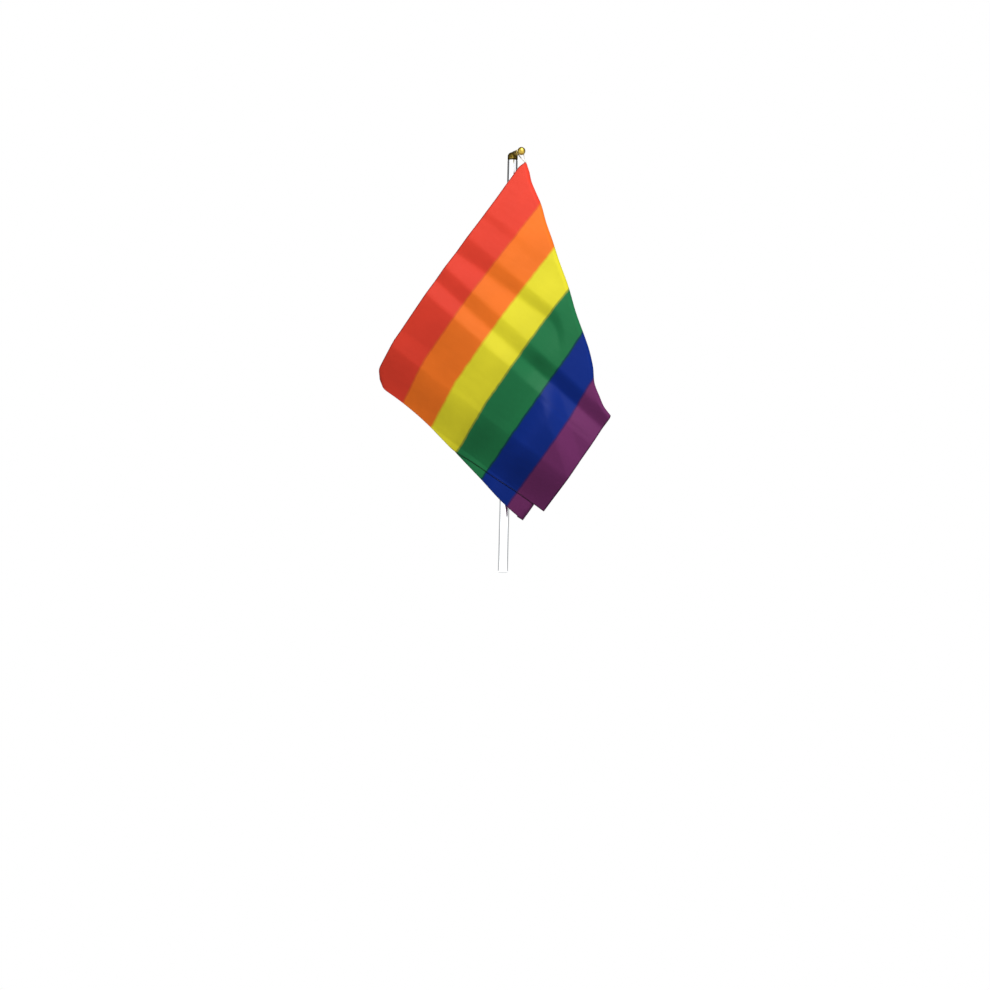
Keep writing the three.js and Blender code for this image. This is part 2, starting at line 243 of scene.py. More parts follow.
def revolve(profile: Sequence[Pair], sides: int) -> tuple[np.ndarray, Faces]:
    """Turns a profile about the Z axis into a closed shape.

    Args:
        profile: Radius and height of each point, upwards, the first and last on the axis.
        sides: How many sides the shape has round the axis.

    Returns:
        The points in the profile's unit, and the faces.
    """
    angles = np.linspace(0, 2 * math.pi, sides, endpoint=False)
    rings = [(r * np.cos(angles), r * np.sin(angles), np.full(sides, h)) for r, h in profile[1:-1]]
    ring_points = np.concatenate([np.stack(ring, axis=1) for ring in rings])
    ends = np.array([(0, 0, profile[0][1]), (0, 0, profile[-1][1])], float)
    foot, top = len(ring_points), len(ring_points) + 1
    last = (len(rings) - 1) * sides
    faces: Faces = []
    for side in range(sides):
        following = (side + 1) % sides
        faces.append((foot, following, side))
        faces.append((last + side, last + following, top))
        for ring in range(len(rings) - 1):
            low, high = ring * sides, (ring + 1) * sides
            faces.append((low + side, low + following, high + following, high + side))
    return np.concatenate([ring_points, ends]), faces


def rounded_corner(radius: float, height: float, rounding: float, steps: int = 6) -> list[Pair]:
    """Gives the points of a turned part's rounded top corner, upwards.

    Args:
        radius: The part's radius below the corner.
        height: The height of the part's top.
        rounding: The corner's own radius.
        steps: How many steps the quarter circle has.

    Returns:
        Radius and height of each point.
    """
    middle, level = radius - rounding, height - rounding
    angles = [math.pi / 2 * step / steps for step in range(steps + 1)]
    return [(middle + rounding * math.cos(a), level + rounding * math.sin(a)) for a in angles]


def smooth_step(share: np.ndarray | float) -> np.ndarray:
    """Eases a share from 0 to 1, and holds it at either end."""
    t = np.clip(share, 0.0, 1.0)
    return t * t * (3 - 2 * t)


def smooth_table(across: np.ndarray, places: Sequence[float], values: Sequence[float]) -> np.ndarray:
    """Reads a table as one smooth curve through its rows.

    Args:
        across: Where to read it.
        places: The rows' places, rising.
        values: The rows' values.

    Returns:
        The curve's values.
    """
    slopes = np.gradient(np.array(values), np.array(places))
    row = np.clip(np.searchsorted(places, across, side="right") - 1, 0, len(places) - 2)
    start, end = np.take(places, row), np.take(places, row + 1)
    t = np.clip((across - start) / (end - start), 0, 1)
    span = end - start
    first, second = np.take(values, row), np.take(values, row + 1)
    leaving, arriving = np.take(slopes, row) * span, np.take(slopes, row + 1) * span
    return (
        first * (2 * t**3 - 3 * t**2 + 1)
        + leaving * (t**3 - 2 * t**2 + t)
        + second * (3 * t**2 - 2 * t**3)
        + arriving * (t**3 - t**2)
    )


@dataclass(frozen=True)
class Crease:
    """A crease across the stripes, in millimetres.

    It crosses the red edge so far along, shifts by its slant on the way to the purple edge, and a
    bend turns it aside past the middle of the flag.
    """

    along: float
    slant: float = 0.0
    bend: float = 0.0

    def place(self, across: np.ndarray, width: float) -> np.ndarray:
        """Gives the crease's distance along the stripes at places across them."""
        return self.along + self.slant * across / width + self.bend * np.maximum(0, across - BEND_FROM) ** 2


@dataclass(frozen=True)
class Facet:
    """The cloth between two creases, which rises away from the viewer, in millimetres.

    It shows between two distances across the flag, and fades out beyond them.
    """

    start: Crease
    end: Crease
    rise: float
    since: float = -20.0
    until: float = 130.0


TIP = Crease(2)
FINE_START, FINE_END = Crease(30.3, 4), Crease(34, 6)
UPPER_START, UPPER_END = Crease(45.3, 8.3, 0.045), Crease(53.9, 1.5, 0.045)
MIDDLE_START, MIDDLE_END = Crease(63.1, 11.5), Crease(70.3, 11.4)
BROAD, LOW = Crease(78, 11), Crease(75, 27)
HAIR_START, HAIR_END = Crease(81.6, 8), Crease(82.9, 8)
BAND_START, BAND_END = Crease(22, 77), Crease(38, 72)
REST = Crease(98, 5)
END, FLY = Crease(107, 3), Crease(126, 3)


@dataclass(frozen=True)
class Cut:
    """The plies' fly ends and how far the stripes bow and droop, from the red edge to the purple one."""

    across: tuple[float, ...] = (0, 17, 34, 42, 50, 58, 68, 85, 100.5)
    outer: tuple[float, ...] = (125.6, 125.7, 127.5, 129.1, 130.3, 129.9, 129.7, 129.1, 129.3)
    inner: tuple[float, ...] = (121.6, 123, 125.5, 127.6, 130.2, 132.2, 134.2, 137.4, 138.8)
    bow: tuple[float, ...] = (1.3, 2.2, 2, 1.7, 1.8, 0.7, -0.7, -0.4, -0.4)
    droop: tuple[float, ...] = (2.2, 3, 2.5, 2.4, 1.8, 1.3, 0.4, 0, 0)


@dataclass(frozen=True)
class Dents:
    """How far the turn's edge is dented in, by the distance from the top corner down."""

    down: tuple[float, ...] = (5, 9.5, 14.5, 21, 30, 38, 48, 62, 73, 97, 101, 109, 115, 120.5, 125.5)
    depth: tuple[float, ...] = (0, 0.5, 0.2, -0.35, 0.1, 0, 0.1, -0.2, 0.25, 0.2, 0.7, 2.5, 2.2, 1.7, 0)
    reach: float = 20.0


@dataclass(frozen=True)
class Hang:
    """The flag's size and the way it hangs.

    Lengths are in millimetres and angles in degrees, but the corner curl's turn is in radians. The
    curl is nearly flat: it lifts the corner by only a share of the roll that draws it in.
    """

    width: float = 100.5
    corner_x: float = 6.2
    corner_z: float = 193.6
    front_y: float = -9.6
    stripes_from_plumb: float = 33.7
    turn_from_hoist: float = 36.55
    turn_radius: float = 2.25
    ply_step: float = 0.32
    facet_fade: float = 14.0
    crispness: float = 0.7
    bow_from: float = 14.0
    bow_over: float = 60.0
    droop_from: float = 104.0
    droop_over: float = 22.0
    pinch: float = 1.1
    pinch_along: float = 5.0
    pinch_across: float = 12.0
    corner_curl_along: float = 117.2
    corner_curl_heading: float = 42.5
    corner_curl_radius: float = 2.2
    corner_curl_turn: float = 1.4
    corner_curl_lift: float = 0.1
    cut: Cut = field(default_factory=Cut)
    dents: Dents = field(default_factory=Dents)
    facets: tuple[Facet, ...] = (
        Facet(TIP, FINE_START, -1.8),
        Facet(FINE_START, FINE_END, 0.2, until=24),
        Facet(FINE_END, UPPER_START, -0.7, until=60),
        Facet(UPPER_START, UPPER_END, 1.35, until=68),
        Facet(UPPER_END, MIDDLE_START, -1.5, until=68),
        Facet(MIDDLE_START, MIDDLE_END, 1.15),
        Facet(MIDDLE_START, MIDDLE_END, 1.15, since=46),
        Facet(MIDDLE_START, MIDDLE_END, 0.45, since=46, until=72),
        Facet(MIDDLE_END, BROAD, -1.4),
        Facet(MIDDLE_END, BROAD, -1.15, since=46),
        Facet(BROAD, END, 3.1, until=74),
        Facet(BROAD, REST, 0.6, until=24),
        Facet(REST, END, -0.6, until=24),
        Facet(HAIR_START, HAIR_END, -0.5, since=64),
        Facet(BAND_START, BAND_END, -3.2, since=64),
        Facet(LOW, END, 1.2, since=58),
        Facet(END, FLY, 4.1),
        Facet(END, FLY, 2.4, since=46),
    )

    @property
    def turn_way(self) -> np.ndarray:
        """The way from the turn line to the hoist, along and across the stripes."""
        angle = math.radians(self.turn_from_hoist)
        return np.array([-math.cos(angle), math.sin(angle)])

    def fold_depth(self, along: np.ndarray, across: np.ndarray) -> np.ndarray:
        """Gives how far the folds set a place on the hanging flag back.

        Args:
            along: Places along the stripes.
            across: Places across them.

        Returns:
            The depths, the same for both plies.
        """
        depth = np.zeros_like(along)
        for facet in self.facets:
            start = facet.start.place(across, self.width)
            wide = np.maximum(LEAST_FACET, facet.end.place(across, self.width) - start)
            share = np.clip((along - start) / wide, 0, 1)
            ramp = self.crispness * share + (1 - self.crispness) * smooth_step(share)
            begun = smooth_step((across - facet.since) / self.facet_fade)
            left = smooth_step((facet.until - across) / self.facet_fade)
            depth += facet.rise * begun * left * ramp
        return depth

    def draw_aside(self, along: np.ndarray, across: np.ndarray) -> np.ndarray:
        """Sets the stripes a little out of square: they bow, droop at the fly and pinch at the tip.

        Args:
            along: Places along the stripes.
            across: Places across them.

        Returns:
            The new places across them.
        """
        bowed = smooth_table(across, self.cut.across, self.cut.bow)
        bowed = bowed * smooth_step((along - self.bow_from) / self.bow_over)
        drooped = smooth_table(across, self.cut.across, self.cut.droop)
        drooped = drooped * np.clip((along - self.droop_from) / self.droop_over, 0, 1)
        pinched = self.pinch * smooth_step(along / self.pinch_along)
        pinched = pinched * smooth_step(1 - across / self.pinch_across)
        return across + drooped - bowed - pinched

    def dent_turn(self, along: np.ndarray, across: np.ndarray) -> tuple[np.ndarray, np.ndarray]:
        """Moves places near the turn's edge in and out with its dents.

        Args:
            along: Places along the stripes.
            across: Places across them.

        Returns:
            The new places along and across.
        """
        way = self.turn_way
        beyond = along * way[0] + across * way[1]
        down = along * way[1] - across * way[0]
        shift = -smooth_table(down, self.dents.down, self.dents.depth)
        shift = shift * smooth_step(1 + beyond / self.dents.reach)
        return along + way[0] * shift, across + way[1] * shift

    def world(self, along: np.ndarray, across: np.ndarray, depth: np.ndarray) -> np.ndarray:
        """Places points of the hanging flag in the part's frame, in millimetres.

        Args:
            along: Places along the stripes.
            across: Places across them.
            depth: How far they lie behind the front, before the folds.

        Returns:
            One row of x, y and z for each point.
        """
        angle = math.radians(self.stripes_from_plumb)
        x = self.corner_x - along * math.sin(angle) + across * math.cos(angle)
        y = self.front_y + depth + self.fold_depth(along, across)
        z = self.corner_z - along * math.cos(angle) - across * math.sin(angle)
        return np.stack([x, y, z], axis=-1)


def roll_over(
    along: np.ndarray,
    across: np.ndarray,
    way: Sequence[float],
    line: float,
    radius: np.ndarray | float,
    turn: np.ndarray | float,
) -> tuple[np.ndarray, np.ndarray, np.ndarray]:
    """Bends the cloth beyond a line back round a roll, and straight on from it.

    Args:
        along: Places along the stripes.
        across: Places across them.
        way: The way over the line, as a unit step along and across.
        line: How far the line lies from the top corner, that way.
        radius: The roll's radius.
        turn: The most that the cloth turns, in radians.

    Returns:
        The new places along and across, and how far back each one is set.
    """
    distance = along * way[0] + across * way[1] - line
    turned = np.clip(distance / radius, 0, turn)
    rest = np.maximum(distance, 0) - radius * turned
    shift = np.minimum(distance, 0) + radius * np.sin(turned) + rest * np.cos(turned) - distance
    depth = radius * (1 - np.cos(turned)) + rest * np.sin(turned)
    return along + way[0] * shift, across + way[1] * shift, depth


def grid_faces(rows: int, columns: int) -> tuple[Faces, np.ndarray]:
    """Joins a grid of points, with its first row and its last one each drawn together to a point.

    Args:
        rows: How many rows the grid has.
        columns: How many points each row has.

    Returns:
        The faces, and which of the grid's points they use.
    """
    number = np.arange(rows * columns).reshape(rows, columns)
    number[0, :] = number[0, 0]
    number[-1, :] = number[-1, 0]
    used = np.unique(number)
    corners = (number[:-1, :-1], number[:-1, 1:], number[1:, 1:], number[1:, :-1])
    quads = np.searchsorted(used, np.stack(corners, axis=-1).reshape(-1, 4))
    faces = [tuple(dict.fromkeys(quad)) for quad in quads.tolist()]
    return [face for face in faces if len(face) > 2], used


@dataclass
class FlagPly:
    """One ply of the flag, a thin sheet of printed satin with a heat-sealed edge.

    Lengths are in millimetres, and the margin's turn is in radians.
    """

    side: PlySide
    hang: Hang = field(default_factory=Hang)
    margin_across: float = 93.4
    margin_radius: float = 1.7
    margin_turn: float = 2.5
    margin_from: float = 106.0
    margin_over: float = 20.0
    least_curl: float = 0.01
    cut_width: float = 101.6
    thickness: float = 0.2
    row_spacing: float = 0.8
    turn_rows: int = 22
    roll_slack: float = 0.4
    columns: int = 150
    end_samples: int = 400
    length_samples: int = 60
    edge_radius: float = 0.12
    edge_spacing: float = 0.6

    @property
    def step(self) -> float:
        """How far the ply lies behind the outer one."""
        return 0.0 if self.side is PlySide.OUTER else self.hang.ply_step

    @property
    def fly_lengths(self) -> tuple[float, ...]:
        """The ply's row of the cut's table."""
        return self.hang.cut.outer if self.side is PlySide.OUTER else self.hang.cut.inner

    def fly_end(self, across: np.ndarray) -> np.ndarray:
        """Gives the fly end's distance from the hoist at places across the flag."""
        return smooth_table(across, self.hang.cut.across, self.fly_lengths)

    def place(self, along: np.ndarray, across: np.ndarray) -> np.ndarray:
        """Hangs places of the flat cut. The inner ply's purple margin curls back first.

        Args:
            along: Places along the stripes.
            across: Places across them.

        Returns:
            Their points in the part's frame, in millimetres.
        """
        hang = self.hang
        depth = np.full_like(along, self.step)
        if self.side is PlySide.INNER:
            curl = np.maximum(smooth_step((along - self.margin_from) / self.margin_over), self.least_curl)
            radius, turn = self.margin_radius / curl, self.margin_turn * curl
            along, across, back = roll_over(along, across, (0, 1), self.margin_across, radius, turn)
            depth = depth + back
        across = hang.draw_aside(along, across)
        heading = math.radians(hang.corner_curl_heading)
        way = (math.cos(heading), -math.sin(heading))
        line, radius = hang.corner_curl_along * way[0], hang.corner_curl_radius - self.step
        along, across, back = roll_over(along, across, way, line, radius, hang.corner_curl_turn)
        depth = depth + hang.corner_curl_lift * back
        line, radius = -hang.turn_radius, hang.turn_radius - self.step
        along, across, back = roll_over(along, across, hang.turn_way, line, radius, math.pi)
        along, across = hang.dent_turn(along, across)
        return hang.world(along, across, depth + back)

    def rows(self) -> np.ndarray:
        """Gives the grid rows' distances from the turn line, one of them through each corner.

        Returns:
            The distances towards the hoist, rising.
        """
        way, width = self.hang.turn_way, self.hang.width
        red_fly = way[0] * self.fly_lengths[0]
        purple_fly = way[0] * self.fly_lengths[-1] + way[1] * width
        radius = self.hang.turn_radius
        turn_start = -radius - self.roll_slack
        turn_end = -radius + math.pi * (radius - self.step) + self.roll_slack
        stops = [red_fly, purple_fly, turn_start, 0, turn_end, way[1] * width]
        gaps = list(zip(stops, stops[1:]))
        counts = [math.ceil((high - low) / self.row_spacing) for low, high in gaps]
        # The third and the fourth gap make up the turn
        for gap in (2, 3):
            counts[gap] = max(counts[gap], self.turn_rows // 2)
        parts = [np.linspace(low, high, n, endpoint=False) for (low, high), n in zip(gaps, counts)]
        return np.concatenate([*parts, [stops[-1]]])

    def grid(self) -> tuple[np.ndarray, np.ndarray]:
        """Lays rows beside the turn line over the cut.

        Returns:
            The places along and across the stripes, as arrays of rows and columns.
        """
        way, width = self.hang.turn_way, self.hang.width
        rows = self.rows()
        samples = np.linspace(0, width, self.end_samples)
        limit = np.interp(rows, way[0] * self.fly_end(samples) + way[1] * samples, samples)
        lowest = np.maximum(0, rows / way[1])
        highest = np.maximum(lowest, limit)
        shares = np.linspace(0, 1, self.columns + 1)
        across = lowest[:, None] + (highest - lowest)[:, None] * shares[None, :]
        along = (across * way[1] - rows[:, None]) / -way[0]
        return along, across

    def build_cloth(self) -> Object:
        """Makes the sheet with its own flat map of the cut, in flag widths.

        Returns:
            The sheet's object.
        """
        along, across = self.grid()
        faces, used = grid_faces(*along.shape)
        along, across = along.ravel()[used], across.ravel()[used]
        cloth = mesh_piece(f"{self.side.value}_cloth", self.place(along, across), faces)
        cut = cloth.data.uv_layers.new(name="cut")
        flat = np.stack([along, across], axis=1) / self.hang.width
        loops = np.zeros(len(cloth.data.loops), int)
        cloth.data.loops.foreach_get("vertex_index", loops)
        cut.data.foreach_set("uv", flat[loops].ravel())
        solid = cloth.modifiers.new("satin_thickness", "SOLIDIFY")
        solid.thickness = self.thickness * MM
        solid.offset = 0
        return cloth

    def outline(self) -> tuple[np.ndarray, np.ndarray]:
        """Walks round the cut.

        Returns:
            The places along and across the stripes, evenly spaced on each side.
        """
        width, red_length, purple_length = self.hang.width, self.fly_lengths[0], self.fly_lengths[-1]
        red, fly, purple, hoist = (
            np.linspace(start, end, int(abs(end - start) / self.edge_spacing), endpoint=False)
            for start, end in ((0, red_length), (0, width), (purple_length, 0), (width, 0))
        )
        along = np.concatenate([red, self.fly_end(fly), purple, np.zeros_like(hoist)])
        across = np.concatenate([np.zeros_like(red), fly, np.full_like(purple, width), hoist])
        return along, across

    def build_edge(self, tree: NodeTree) -> Object:
        """Makes the fine bead that the hot knife leaves round the cut.

        Args:
            tree: The node tree that sweeps a round bead along a path.

        Returns:
            The bead's object.
        """
        along, across = self.outline()
        edge = closed_path(f"{self.side.value}_sealed_edge", self.place(along, across))
        shares = edge.data.attributes.new("across", "FLOAT", "POINT")
        shares.data.foreach_set("value", across / self.hang.width)
        run_nodes(edge, tree, {"Bead radius": self.edge_radius * MM})
        return edge

    def build(self, satin: Material, bead: NodeTree) -> list[Object]:
        """Args:
            satin: The cloth's material.
            bead: The node tree of the sealed edge.

        Returns:
            The ply's sheet and its edge.
        """
        cloth = self.build_cloth()
        cloth.data.materials.append(satin)
        edge = self.build_edge(bead)
        finish_piece(cloth, Slot.SATIN, self.side.value)
        finish_piece(edge, Slot.SATIN)
        return [cloth, edge]


@dataclass
class BrassPeg:
    """The brass fitting: a cap on the pole's end, a peg to the front right, and its ball."""

    root: Vector = field(default_factory=lambda: Vector((0.6, -0.8, 199.1)))
    ball: Vector = field(default_factory=lambda: Vector((3.9, -9.4, 198.2)))
    cap_radius: float = 2.4
    cap_foot: float = 196.6
    cap_height: float = 3.4
    cap_rounding: float = 1.9
    peg_radius: float = 1.3
    groove_radius: float = 0.8
    groove_place: float = 0.74
    groove_length: float = 1.1
    ball_radius: float = 1.85
    sides: int = 64
    voxel: float = 0.07
    smoothing: int = 3

    def peg_profile(self, length: float) -> list[Pair]:
        """Gives the turned outline of the peg, with the loop's groove before its ball.

        Args:
            length: The peg's length.

        Returns:
            Radius and height of each point, upwards.
        """
        groove = length * self.groove_place
        half = self.groove_length / 2
        return [
            (0.0, 0.0),
            (self.peg_radius, 0.0),
            (self.peg_radius, groove - half),
            (self.groove_radius, groove - half / 2),
            (self.groove_radius, groove + half / 2),
            (self.peg_radius, groove + half),
            (self.peg_radius, length),
            (0.0, length),
        ]

    def ball_profile(self) -> list[Pair]:
        """Gives the ball's outline, from its lowest to its highest point.

        Returns:
            Radius and height of each point.
        """
        angles = np.linspace(-math.pi / 2, math.pi / 2, self.sides // 2 + 1)
        middle = [(self.ball_radius * math.cos(a), self.ball_radius * math.sin(a)) for a in angles[1:-1]]
        return [(0.0, -self.ball_radius), *middle, (0.0, self.ball_radius)]

    def build(self, brass: Material) -> Object:
        """Joins the turned parts into one smooth casting.

        Args:
            brass: The metal's material.

        Returns:
            The fitting's object.
        """
        run = self.ball - self.root
        lean = run.to_track_quat("Z", "Y").to_matrix().to_4x4()
        cap = [(0.0, 0.0), (self.cap_radius, 0.0)]
        cap += rounded_corner(self.cap_radius, self.cap_height, self.cap_rounding)
        cap.append((0.0, self.cap_height))
        turned = [
            (cap, Matrix.Translation((0, 0, self.cap_foot))),
            (self.peg_profile(run.length), Matrix.Translation(self.root) @ lean),
            (self.ball_profile(), Matrix.Translation(self.ball)),
        ]
        points: list[np.ndarray] = []
        faces: Faces = []
        for profile, place in turned:
            shape, shape_faces = revolve(profile, self.sides)
            start = sum(len(p) for p in points)
            points.append(np.array([place @ Vector(point) for point in shape]))
            faces += [tuple(start + n for n in face) for face in shape_faces]
        fitting = mesh_piece("brass_peg_fitting", np.concatenate(points), faces)
        merge = fitting.modifiers.new("one_casting", "REMESH")
        merge.mode = "VOXEL"
        merge.voxel_size = self.voxel * MM
        merge.use_smooth_shade = True
        soften = fitting.modifiers.new("soft_joins", "SMOOTH")
        soften.iterations = self.smoothing
        apply_modifiers(fitting)
        fitting.data.materials.clear()
        fitting.data.materials.append(brass)
        finish_piece(fitting, Slot.BRASS, "brass_peg")
        return fitting


@dataclass
class Pole:
    """The slim polished rod, with a small chamfer at each end."""

    radius: float = 2.4
    height: float = 196.3
    chamfer: float = 0.25
    sides: int = 128
    sharp_degrees: float = 30.0

    def build(self, chrome: Material) -> Object:
        """Turns the rod and dresses it.

        Args:
            chrome: The metal's material.

        Returns:
            The rod's object.
        """
        inner = self.radius - self.chamfer
        profile = [
            (0.0, 0.0),
            (inner, 0.0),
            (self.radius, self.chamfer),
            (self.radius, self.height - self.chamfer),
            (inner, self.height),
            (0.0, self.height),
        ]
        rod = mesh_piece("pole_rod", *revolve(profile, self.sides))
        rod.data.set_sharp_from_angle(angle=math.radians(self.sharp_degrees))
        rod.data.materials.append(chrome)
        finish_piece(rod, Slot.CHROME, "pole")
        return rod


@dataclass
class HangingLoop:
    """The loop of twisted thread that holds the flag's corner on the peg."""

    peg: BrassPeg
    corner: Vector
    half_width: float = 1.15
    fullness: float = 1.3
    into_corner: float = 0.5
    strand_radius: float = 0.12
    lay_radius: float = 0.13
    strands: int = 3
    turns: float = 9.0
    steps: int = 160

    def path(self) -> np.ndarray:
        """Gives the drop shape of the loop, round over the peg and pointed at the corner.

        Returns:
            One row of x, y and z for each point, in millimetres.
        """
        middle = self.peg.root.lerp(self.peg.ball, self.peg.groove_place)
        drop = self.corner - middle
        length = drop.length + self.into_corner
        down = drop.normalized()
        side = (self.peg.ball - self.peg.root).cross(down).normalized()
        angle = np.linspace(0, 2 * math.pi, self.steps, endpoint=False)
        low = (1 + np.cos(angle)) / 2
        below = -self.half_width + (length + self.half_width) * low
        beside = self.half_width * self.fullness * np.sin(angle) * np.sin(angle / 2)
        return np.array(middle) + below[:, None] * np.array(down) + beside[:, None] * np.array(side)

    def build(self, tree: NodeTree) -> None:
        """Lays the strands round the path.

        Args:
            tree: The node tree that lays twisted strands along a path.
        """
        loop = closed_path("hanging_loop_thread", self.path())
        sizes = {
            "Strand radius": self.strand_radius * MM,
            "Lay radius": self.lay_radius * MM,
            "Strands": self.strands,
            "Turns": self.turns,
        }
        run_nodes(loop, tree, sizes)
        finish_piece(loop, Slot.THREAD, "hanging_loop")


def path_tree(name: str, inputs: dict[str, str]) -> tuple[NodeTree, NodeOutputs]:
    """Starts a geometry node tree with a geometry input and named size inputs.

    Args:
        name: The tree's name.
        inputs: The size inputs' socket types, by name.

    Returns:
        The tree and the sockets of its inputs.
    """
    tree = bpy.data.node_groups.new(name, "GeometryNodeTree")
    tree.interface.new_socket("Path", in_out="INPUT", socket_type="NodeSocketGeometry")
    for label, kind in inputs.items():
        tree.interface.new_socket(label, in_out="INPUT", socket_type=kind)
    tree.interface.new_socket("Geometry", in_out="OUTPUT", socket_type="NodeSocketGeometry")
    return tree, add_node(tree, "NodeGroupInput").outputs


def finish_tree(tree: NodeTree, shape: Node, material: Material) -> None:
    """Ends a tree in smooth, realized geometry with its material.

    Args:
        tree: The node tree.
        shape: The node that gives the shape.
        material: The shape's material.
    """
    smooth = add_node(tree, "GeometryNodeSetShadeSmooth", {"Geometry": shape})
    real = add_node(tree, "GeometryNodeRealizeInstances", {0: smooth})
    dressed = add_node(tree, "GeometryNodeSetMaterial", {0: real, "Material": material})
    add_node(tree, "NodeGroupOutput", {0: dressed})


def sealed_edge_tree(material: Material) -> NodeTree:
    """Builds the node tree that sweeps a round bead along a closed path.

    Args:
        material: The bead's material.

    Returns:
        The tree, with the input "Bead radius".
    """
    tree, sizes = path_tree("sealed_edge", {"Bead radius": "NodeSocketFloat"})
    line = add_node(tree, "GeometryNodeMeshToCurve", {"Mesh": sizes["Path"]})
    ring_sizes = {"Resolution": BEAD_SIDES, "Radius": sizes["Bead radius"]}
    ring = add_node(tree, "GeometryNodeCurvePrimitiveCircle", ring_sizes)
    bead = add_node(tree, "GeometryNodeCurveToMesh", {"Curve": line, "Profile Curve": ring})
    finish_tree(tree, bead, material)
    return tree


def twisted_thread_tree(material: Material) -> NodeTree:
    """Builds the node tree that lays twisted strands along a closed path.

    Args:
        material: The thread's material.

    Returns:
        The tree, with inputs for the strands' size, number and twist.
    """
    kinds = {
        "Strand radius": "NodeSocketFloat",
        "Lay radius": "NodeSocketFloat",
        "Strands": "NodeSocketInt",
        "Turns": "NodeSocketFloat",
    }
    tree, sizes = path_tree("twisted_thread", kinds)
    line = add_node(tree, "GeometryNodeMeshToCurve", {"Mesh": sizes["Path"]})
    share = add_node(tree, "GeometryNodeSplineParameter")
    turned = add_node(tree, "ShaderNodeMath", {0: share, 1: sizes["Turns"]}, operation="MULTIPLY")
    angle = add_node(tree, "ShaderNodeMath", {0: turned, 1: 2 * math.pi}, operation="MULTIPLY")
    tilted = add_node(tree, "GeometryNodeSetCurveTilt", {"Curve": line, "Tilt": angle})
    lay_sizes = {"Vertices": sizes["Strands"], "Radius": sizes["Lay radius"]}
    lay = add_node(tree, "GeometryNodeMeshCircle", lay_sizes)
    strand_sizes = {"Resolution": STRAND_SIDES, "Radius": sizes["Strand radius"]}
    strand = add_node(tree, "GeometryNodeCurvePrimitiveCircle", strand_sizes)
    section = add_node(tree, "GeometryNodeInstanceOnPoints", {"Points": lay, "Instance": strand})
    profile = add_node(tree, "GeometryNodeRealizeInstances", {0: section})
    thread = add_node(tree, "GeometryNodeCurveToMesh", {"Curve": tilted, "Profile Curve": profile})
    finish_tree(tree, thread, material)
    return tree


class Finish(ABC):
    """A surface finish, which becomes a material with one Principled shader."""

    name: ClassVar[str]

    @abstractmethod
    def inputs(self, tree: NodeTree) -> Inputs:
        """Adds the finish's nodes to a tree and gives the shader's inputs.

        Args:
            tree: The material's node tree.

        Returns:
            What the shader's inputs are linked from or set to.
        """

    def material(self) -> Material:
        """Builds the finish's material.

        Returns:
            The material.
        """
        material = bpy.data.materials.new(self.name)
        material.use_nodes = True
        tree = material.node_tree
        set_inputs(tree, tree.nodes["Principled BSDF"], self.inputs(tree))
        return material


@dataclass(frozen=True)
class Stripes:
    """The six printed stripes, from the red edge to the purple one, as sRGB hex colours.

    The borders are shares of the flag's width. The inks blend there, and a faint dark line shows
    where both are dense. The ramp also darkens a thin margin at the red and purple edges.
    """

    colours: tuple[str, ...] = ("#E84432", "#F87927", "#E8DE32", "#267A4A", "#122F88", "#753267")
    borders: tuple[float, ...] = (0.1662, 0.3413, 0.5095, 0.6697, 0.8468)
    line_shades: tuple[float, ...] = (0.9, 0.95, 0.8, 0.45, 0.7)
    line_mm: float = 0.3
    feather_mm: float = 0.4
    margin_mm: float = 0.45
    margin_shade: float = 0.4
    width_mm: float = 100.5

    def stops(self) -> list[tuple[float, Colour]]:
        """Gives the places and colours of the print's ramp.

        Returns:
            The place and the colour of each stop.
        """
        inks = [linear(colour) for colour in self.colours]
        half, feather = self.line_mm / 2 / self.width_mm, self.feather_mm / self.width_mm
        margin = self.margin_mm / self.width_mm
        # The first and last inks, darkened by margin_shade for the thin margin at the red and purple edges
        darkened_edge_inks = [tuple(self.margin_shade * part for part in ink) for ink in (inks[0], inks[-1])]
        stops = [(0.0, darkened_edge_inks[0]), (margin, inks[0])]
        for number, (border, shade) in enumerate(zip(self.borders, self.line_shades)):
            line = tuple(shade * (a + b) / 2 for a, b in zip(inks[number], inks[number + 1]))
            stops.append((border - half - feather, inks[number]))
            stops.append((border - half, line))
            stops.append((border + half, line))
            stops.append((border + half + feather, inks[number + 1]))
        stops += [(1 - margin, inks[-1]), (1.0, darkened_edge_inks[1])]
        return stops

    def ramp(self, tree: NodeTree, across: Node | NodeSocket) -> Node:
        """Colours a material by the place across the flag.

        Args:
            tree: The material's node tree.
            across: What gives the place across the flag, from 0 to 1.

        Returns:
            The node that gives the print's colour, darker where two inks overlap.
        """
        print_ramp = add_node(tree, "ShaderNodeValToRGB", {"Fac": across})
        elements = print_ramp.color_ramp.elements
        elements.remove(elements[-1])
        for number, (place, colour) in enumerate(self.stops()):
            stop = elements[0] if number == 0 else elements.new(place)
            stop.color = colour
        return print_ramp


